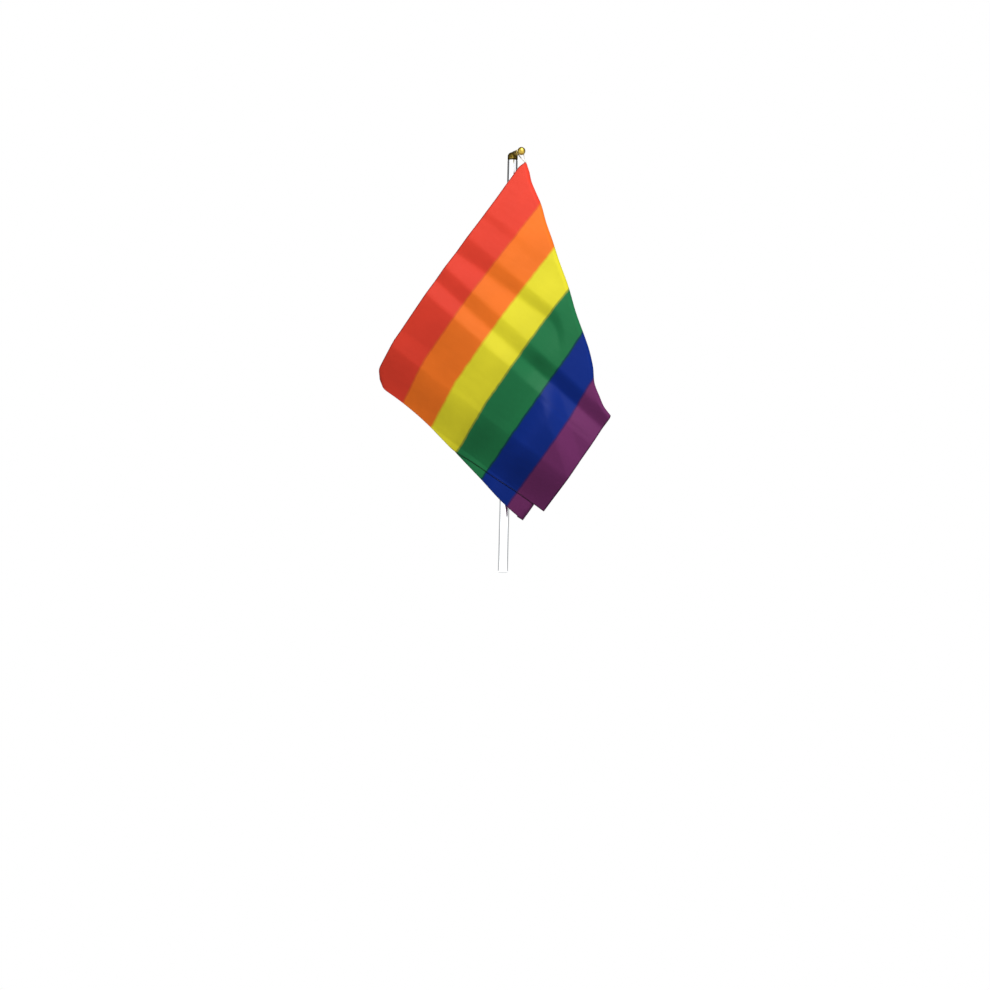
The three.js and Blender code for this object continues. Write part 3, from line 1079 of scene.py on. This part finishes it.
@dataclass(frozen=True)
class PrintedSatin(Finish):
    """Printed polyester satin: woven of smooth filaments, so it has a soft wide gloss on its folds.

    The thread spacing is about 0.12 mm in the real cloth, too fine to show, so it is drawn at 0.5 mm.
    The stripes' borders wander a little, and faint clouds and crinkles break up the colour and gloss.
    """

    name: ClassVar[str] = "printed_polyester_satin"
    stripes: Stripes = field(default_factory=Stripes)
    flag_width_mm: float = 101.6
    thread_mm: float = 0.5
    thread_depth_mm: float = 0.02
    border_waves: float = 26.0
    border_shift: float = 0.003
    cloud_mm: float = 26.0
    cloud_detail: float = 4.0
    cloud_seen: Pair = (0.3, 0.7)
    cloud_shade: Pair = (0.95, 1.05)
    crinkle_mm: float = 7.0
    crinkle_depth_mm: float = 0.07
    crinkle_squeeze: tuple[float, float, float] = (2.4, 0.8, 1.0)
    fine_detail: float = 3.0
    roughness: float = 0.46
    specular_level: float = 0.08
    sheen: float = 0.005
    sheen_roughness: float = 0.4

    def inputs(self, tree: NodeTree) -> Inputs:
        """Adds the satin's nodes.

        Args:
            tree: The material's node tree.

        Returns:
            What the shader's inputs are linked from or set to.
        """
        cut = add_node(tree, "ShaderNodeUVMap", uv_map="cut")
        flat = add_node(tree, "ShaderNodeSeparateXYZ", {0: cut}).outputs
        waves = {"Vector": cut, "Scale": self.border_waves, "Detail": self.fine_detail}
        wave = add_node(tree, "ShaderNodeTexNoise", waves, noise_dimensions="2D")
        shifts = {"Value": wave, "To Min": -self.border_shift, "To Max": self.border_shift}
        shift = add_node(tree, "ShaderNodeMapRange", shifts)
        across = add_node(tree, "ShaderNodeMath", {0: flat["Y"], 1: shift}, operation="ADD")
        colour = self.stripes.ramp(tree, across)
        clouds = {"Vector": cut, "Scale": self.flag_width_mm / self.cloud_mm, "Detail": self.cloud_detail}
        cloud = add_node(tree, "ShaderNodeTexNoise", clouds, noise_dimensions="2D")
        shades = dict(zip(RANGE_INPUTS, (cloud, *self.cloud_seen, *self.cloud_shade)))
        shade = add_node(tree, "ShaderNodeMapRange", shades)
        uneven = add_node(tree, "ShaderNodeHueSaturation", {"Value": shade, "Color": colour})
        threads = 2 * math.pi * self.flag_width_mm / self.thread_mm
        ribs = []
        for axis, count in (("X", threads), ("Y", threads / 2)):
            turns = add_node(tree, "ShaderNodeMath", {0: flat[axis], 1: count}, operation="MULTIPLY")
            ribs.append(add_node(tree, "ShaderNodeMath", {0: turns}, operation="SINE"))
        weave = add_node(tree, "ShaderNodeMath", {0: ribs[0], 1: ribs[1]}, operation="MULTIPLY")
        depth = self.thread_depth_mm * MM
        woven = add_node(tree, "ShaderNodeBump", {"Distance": depth, "Height": weave})
        squeezed = add_node(tree, "ShaderNodeMapping", {"Vector": cut, "Scale": self.crinkle_squeeze})
        scale = self.flag_width_mm / self.crinkle_mm
        crinkles = {"Vector": squeezed, "Scale": scale, "Detail": self.fine_detail}
        crinkle = add_node(tree, "ShaderNodeTexNoise", crinkles, noise_dimensions="2D")
        depth = self.crinkle_depth_mm * MM
        crinkled = add_node(tree, "ShaderNodeBump", {"Distance": depth, "Height": crinkle, "Normal": woven})
        return {
            "Base Color": uneven,
            "Normal": crinkled,
            "Roughness": self.roughness,
            "Specular IOR Level": self.specular_level,
            "Sheen Weight": self.sheen,
            "Sheen Roughness": self.sheen_roughness,
        }


@dataclass(frozen=True)
class SealedEdge(Finish):
    """Polyester melted by the hot knife: a thin darker line in the print's own colours."""

    name: ClassVar[str] = "heat_sealed_polyester_edge"
    stripes: Stripes = field(default_factory=Stripes)
    darkening: float = 0.7
    grains_per_m: float = 900.0
    grain_shade: Pair = (0.6, 1.4)
    roughness: float = 0.4

    def inputs(self, tree: NodeTree) -> Inputs:
        """Adds the sealed edge's nodes.

        Args:
            tree: The material's node tree.

        Returns:
            What the shader's inputs are linked from or set to.
        """
        across = add_node(tree, "ShaderNodeAttribute", attribute_name="across")
        colour = self.stripes.ramp(tree, across.outputs["Fac"])
        place = add_node(tree, "ShaderNodeTexCoord").outputs["Object"]
        grains = add_node(tree, "ShaderNodeTexNoise", {"Vector": place, "Scale": self.grains_per_m})
        low, high = (self.darkening * shade for shade in self.grain_shade)
        shade = add_node(tree, "ShaderNodeMapRange", {"Value": grains, "To Min": low, "To Max": high})
        dark = add_node(tree, "ShaderNodeHueSaturation", {"Value": shade, "Color": colour})
        return {"Base Color": dark, "Roughness": self.roughness}


@dataclass(frozen=True)
class PolishedChrome(Finish):
    """Chrome plate on a drawn steel rod: a mirror with faint polishing lines round it."""

    name: ClassVar[str] = "polished_chrome_plate"
    colour: str = "#E6E8EA"
    line_mm: float = 0.35
    line_depth_mm: float = 0.0015
    line_detail: float = 2.0
    line_stretch: tuple[float, float, float] = (0.08, 0.08, 1.0)
    smudges_per_m: float = 120.0
    smudge_detail: float = 3.0
    smudge_seen: Pair = (0.4, 0.7)
    roughness: Pair = (0.05, 0.14)

    def inputs(self, tree: NodeTree) -> Inputs:
        """Adds the rod's nodes.

        Args:
            tree: The material's node tree.

        Returns:
            What the shader's inputs are linked from or set to.
        """
        place = add_node(tree, "ShaderNodeTexCoord").outputs["Object"]
        stretched = add_node(tree, "ShaderNodeMapping", {"Vector": place, "Scale": self.line_stretch})
        rings = {"Vector": stretched, "Scale": 1 / (self.line_mm * MM), "Detail": self.line_detail}
        lines = add_node(tree, "ShaderNodeTexNoise", rings)
        bump = add_node(tree, "ShaderNodeBump", {"Distance": self.line_depth_mm * MM, "Height": lines})
        spots = {"Vector": place, "Scale": self.smudges_per_m, "Detail": self.smudge_detail}
        smudges = add_node(tree, "ShaderNodeTexNoise", spots)
        gloss = dict(zip(RANGE_INPUTS, (smudges, *self.smudge_seen, *self.roughness)))
        return {
            "Base Color": linear(self.colour),
            "Metallic": 1.0,
            "Roughness": add_node(tree, "ShaderNodeMapRange", gloss),
            "Normal": bump,
        }


@dataclass(frozen=True)
class AgedBrass(Finish):
    """Turned brass, patinated olive-brown in mottled patches and worn to gold in others.

    The fitting is also darker towards the back, between two depths in metres. The cap there takes the dark
    colour as painted shade, while the ball and the peg's end nearer the front stay worn gold. Worn brass is
    also smoother, so the ball shines where the cap stays dull.
    """

    name: ClassVar[str] = "aged_turned_brass"
    bright: str = "#AE9440"
    # The dark colour of the mottled patches, also used as painted shade on the cap
    patina_and_shade: str = "#4A3D12"
    mottles_per_m: float = 420.0
    mottle_detail: float = 4.0
    mottle_roughness: float = 0.6
    shade_and_wear_depths: Pair = (-0.001, -0.006)
    shade_and_wear_levels: Pair = (-0.25, 0.3)
    gold_from: float = 0.35
    gold_to: float = 0.75
    patina_roughness: float = 0.5
    bright_roughness: float = 0.36

    def inputs(self, tree: NodeTree) -> Inputs:
        """Adds the fitting's nodes.

        Args:
            tree: The material's node tree.

        Returns:
            What the shader's inputs are linked from or set to.
        """
        place = add_node(tree, "ShaderNodeTexCoord").outputs["Object"]
        patches = {
            "Vector": place,
            "Scale": self.mottles_per_m,
            "Detail": self.mottle_detail,
            "Roughness": self.mottle_roughness,
        }
        mottle = add_node(tree, "ShaderNodeTexNoise", patches)
        depth = add_node(tree, "ShaderNodeSeparateXYZ", {0: place}).outputs["Y"]
        # Painted shade: the brass darkens towards the back, so the cap takes the dark colour as shade,
        # while the ball and the peg's end towards the front stay worn gold. This adds to the mottling.
        shade_and_wear_range = dict(zip(RANGE_INPUTS, (depth, *self.shade_and_wear_depths, *self.shade_and_wear_levels)))
        shade_and_wear = add_node(tree, "ShaderNodeMapRange", shade_and_wear_range)
        mottle_wear_and_shade = add_node(tree, "ShaderNodeMath", {0: mottle, 1: shade_and_wear}, operation="ADD")
        limits = {"Value": mottle_wear_and_shade, "From Min": self.gold_from, "From Max": self.gold_to}
        share = add_node(tree, "ShaderNodeMapRange", limits)
        tones = {"Factor": share, 6: linear(self.patina_and_shade), 7: linear(self.bright)}
        colour = add_node(tree, "ShaderNodeMix", tones, data_type="RGBA")
        gloss = {"Value": share, "To Min": self.patina_roughness, "To Max": self.bright_roughness}
        return {
            "Base Color": colour.outputs[2],
            "Metallic": 1.0,
            "Roughness": add_node(tree, "ShaderNodeMapRange", gloss),
        }


@dataclass(frozen=True)
class CottonThread(Finish):
    """Twisted cotton sewing thread, matt and a little fuzzy."""

    name: ClassVar[str] = "twisted_cotton_thread"
    colour: str = "#F6F4EC"
    fibres_per_m: float = 6000.0
    fibre_detail: float = 2.0
    fibre_depth_mm: float = 0.04
    fibre_shade: Pair = (0.8, 1.1)
    roughness: float = 0.9
    sheen: float = 0.3

    def inputs(self, tree: NodeTree) -> Inputs:
        """Adds the thread's nodes.

        Args:
            tree: The material's node tree.

        Returns:
            What the shader's inputs are linked from or set to.
        """
        place = add_node(tree, "ShaderNodeTexCoord").outputs["Object"]
        fuzz = {"Vector": place, "Scale": self.fibres_per_m, "Detail": self.fibre_detail}
        fibres = add_node(tree, "ShaderNodeTexNoise", fuzz)
        bump = add_node(tree, "ShaderNodeBump", {"Distance": self.fibre_depth_mm * MM, "Height": fibres})
        low, high = self.fibre_shade
        shade = add_node(tree, "ShaderNodeMapRange", {"Value": fibres, "To Min": low, "To Max": high})
        tone = {"Value": shade, "Color": linear(self.colour)}
        return {
            "Base Color": add_node(tree, "ShaderNodeHueSaturation", tone),
            "Normal": bump,
            "Roughness": self.roughness,
            "Sheen Weight": self.sheen,
        }


@dataclass(frozen=True)
class MattWhiteFloor(Finish):
    """A matt floor that the view sees evenly white, and that lights the object as a grey one does."""

    name: ClassVar[str] = "matt_white_floor"
    colour: str = "#707070"
    roughness: float = 0.9
    specular_level: float = 0.1
    mirrored: float = 0.6

    def inputs(self, tree: NodeTree) -> Inputs:
        """Gives the shader's inputs, which are the same all over the floor.

        Args:
            tree: The material's node tree.

        Returns:
            What the shader's inputs are set to.
        """
        return {
            "Base Color": linear(self.colour),
            "Roughness": self.roughness,
            "Specular IOR Level": self.specular_level,
        }

    def material(self) -> Material:
        """Builds the material, with an even white in place of the shader where the view looks.

        Returns:
            The material.
        """
        material = super().material()
        tree = material.node_tree
        ray = add_node(tree, "ShaderNodeLightPath").outputs
        seen, glossy = ray["Is Camera Ray"], ray["Is Glossy Ray"]
        levels = {"Value": seen, "To Min": self.mirrored, "To Max": 1.0}
        strength = add_node(tree, "ShaderNodeMapRange", levels)
        white = add_node(tree, "ShaderNodeEmission", {"Strength": strength})
        direct = add_node(tree, "ShaderNodeMath", {0: seen, 1: glossy}, operation="MAXIMUM")
        shader = tree.nodes["Principled BSDF"]
        either = add_node(tree, "ShaderNodeMixShader", {0: direct, 1: shader, 2: white})
        set_inputs(tree, tree.nodes["Material Output"], {"Surface": either})
        return material


@dataclass(frozen=True)
class SoftLight:
    """A rectangular light. Its place and its sides are in metres, and it shines the way it faces."""

    name: str
    place: Vector
    facing: Vector
    sides: Pair
    watts: float

    def build(self, lit_only: Sequence[Object] = ()) -> None:
        """Adds the light.

        Args:
            lit_only: The pieces that it lights, or none for all of them.
        """
        data = bpy.data.lights.new(self.name, "AREA")
        data.shape = "RECTANGLE"
        data.size, data.size_y = self.sides
        data.energy = self.watts
        light = bpy.data.objects.new(self.name, data)
        turn = self.facing.to_track_quat("-Z", "Y").to_matrix().to_4x4()
        light.matrix_world = Matrix.Translation(self.place) @ turn
        light.visible_camera = False
        bpy.context.scene.collection.objects.link(light)
        if lit_only:
            receivers = bpy.data.collections.new(f"{self.name}_receivers")
            for piece in lit_only:
                receivers.objects.link(piece)
            light.light_linking.receiver_collection = receivers


@dataclass
class Studio:
    """A white floor and surroundings, soft lights near the flag, and the photograph's view.

    The eye's place is in millimetres, and all other lengths are in metres.
    """

    eye_mm: Vector = field(default_factory=lambda: Vector((-5.35, -476.6, 67.61)))
    focal_px: float = 1000.0
    eye_level_px: float = 430.0
    lean_degrees: float = 1.36
    nearest_seen: float = 0.01
    floor_side: float = 6.0
    white: str = "#FFFFFF"
    fill: float = 0.085
    mirrored: float = 0.16
    aim: Vector = field(default_factory=lambda: Vector((0.0, -0.005, 0.12)))
    elevation: float = 42.0
    key_azimuth: float = 17.0
    key_distance: float = 0.5
    key_side: float = 0.25
    key_watts: float = 2.97
    back_azimuth: float = 200.0
    back_distance: float = 0.7
    back_side: float = 0.5
    back_watts: float = 4.5

    def build_camera(self) -> None:
        """Places the camera where the photograph's proportions put it, with its small lean."""
        lean = math.radians(self.lean_degrees)
        right = Vector((math.cos(lean), 0, math.sin(lean)))
        up = Vector((-math.sin(lean), 0, math.cos(lean)))
        data = bpy.data.cameras.new("view")
        data.sensor_width = SENSOR_MM
        data.lens = self.focal_px / PHOTO_SIDE_PX * SENSOR_MM
        data.shift_y = (self.eye_level_px - PHOTO_SIDE_PX / 2) / PHOTO_SIDE_PX
        data.clip_start = self.nearest_seen
        camera = bpy.data.objects.new("view", data)
        turn = Matrix((right, up, right.cross(up))).transposed()
        camera.matrix_world = Matrix.Translation(self.eye_mm * MM) @ turn.to_4x4()
        bpy.context.scene.collection.objects.link(camera)
        bpy.context.scene.camera = camera

    def build_floor(self) -> None:
        """Lays the white floor at the pole's foot."""
        half = self.floor_side / 2 / MM
        corners = np.array([(-half, -half, 0), (half, -half, 0), (half, half, 0), (-half, half, 0)])
        floor = mesh_piece("studio_floor", corners, [(0, 1, 2, 3)])
        floor.data.materials.append(MattWhiteFloor().material())

    def build_surroundings(self) -> None:
        """Makes the surroundings white to the view, and dim to the object."""
        world = bpy.data.worlds.new("studio")
        world.use_nodes = True
        tree = world.node_tree
        ray = add_node(tree, "ShaderNodeLightPath").outputs
        limits = {"Value": ray["Is Glossy Ray"], "To Min": self.fill, "To Max": self.mirrored}
        unseen = add_node(tree, "ShaderNodeMapRange", limits)
        levels = {0: ray["Is Camera Ray"], 2: unseen, 3: 1.0}
        level = add_node(tree, "ShaderNodeMix", levels, data_type="FLOAT")
        set_inputs(tree, tree.nodes["Background"], {"Strength": level, "Color": linear(self.white)})
        bpy.context.scene.world = world

    def toward(self, azimuth: float, distance: float) -> Vector:
        """Gives the way to a light seen from the flag, with azimuth 0 at the viewer.

        Args:
            azimuth: How far round the flag the light stands, in degrees.
            distance: How far away it stands, in metres.

        Returns:
            The way, as long as the distance.
        """
        turn, rise = math.radians(azimuth), math.radians(self.elevation)
        level = distance * math.cos(rise)
        return Vector((level * math.sin(turn), -level * math.cos(turn), distance * math.sin(rise)))

    def build_lights(self, metal: Sequence[Object], cloth: Sequence[Object]) -> None:
        """Sets up the soft key light, a light on the cloth's back, and white cards for the metal.

        Args:
            metal: The metal pieces, which alone mirror the cards.
            cloth: The cloth pieces, which alone are lit from behind.
        """
        way = self.toward(self.key_azimuth, self.key_distance)
        sides = (self.key_side, self.key_side)
        SoftLight("key_light", self.aim + way, -way, sides, self.key_watts).build()
        way = self.toward(self.back_azimuth, self.back_distance)
        sides = (self.back_side, self.back_side)
        SoftLight("back_light", self.aim + way, -way, sides, self.back_watts).build(cloth)
        FRONT_CARD.build(metal)
        TABLE_CARD.build(metal)
        bpy.context.scene.view_settings.view_transform = "Standard"

    def build(self) -> None:
        """Sets up the view, the floor and the surroundings."""
        self.build_camera()
        self.build_floor()
        self.build_surroundings()


FRONT_CARD = SoftLight(
    name="front_card",
    place=Vector((0, -1.0, 1.4)),
    facing=Vector((0, 1, 0)),
    sides=(12.0, 2.8),
    watts=121.0,
)
TABLE_CARD = SoftLight(
    name="table_card",
    place=Vector((0, -0.62, 0.0003)),
    facing=Vector((0, 0, 1)),
    sides=(4.0, 1.24),
    watts=17.5,
)


def main() -> None:
    """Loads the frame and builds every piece."""
    logging.basicConfig(level=logging.INFO, format="%(name)s: %(message)s")
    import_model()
    studio = Studio()
    studio.build()
    satin = PrintedSatin().material()
    bead = sealed_edge_tree(SealedEdge().material())
    outer, inner = FlagPly(PlySide.OUTER), FlagPly(PlySide.INNER)
    cloth = [*outer.build(satin, bead), *inner.build(satin, bead)]
    peg = BrassPeg()
    metal = [peg.build(AgedBrass().material()), Pole().build(PolishedChrome().material())]
    top_corner = Vector(outer.place(np.zeros(1), np.zeros(1))[0])
    HangingLoop(peg, top_corner).build(twisted_thread_tree(CottonThread().material()))
    studio.build_lights(metal, cloth)


if __name__ == "__main__":
    main()
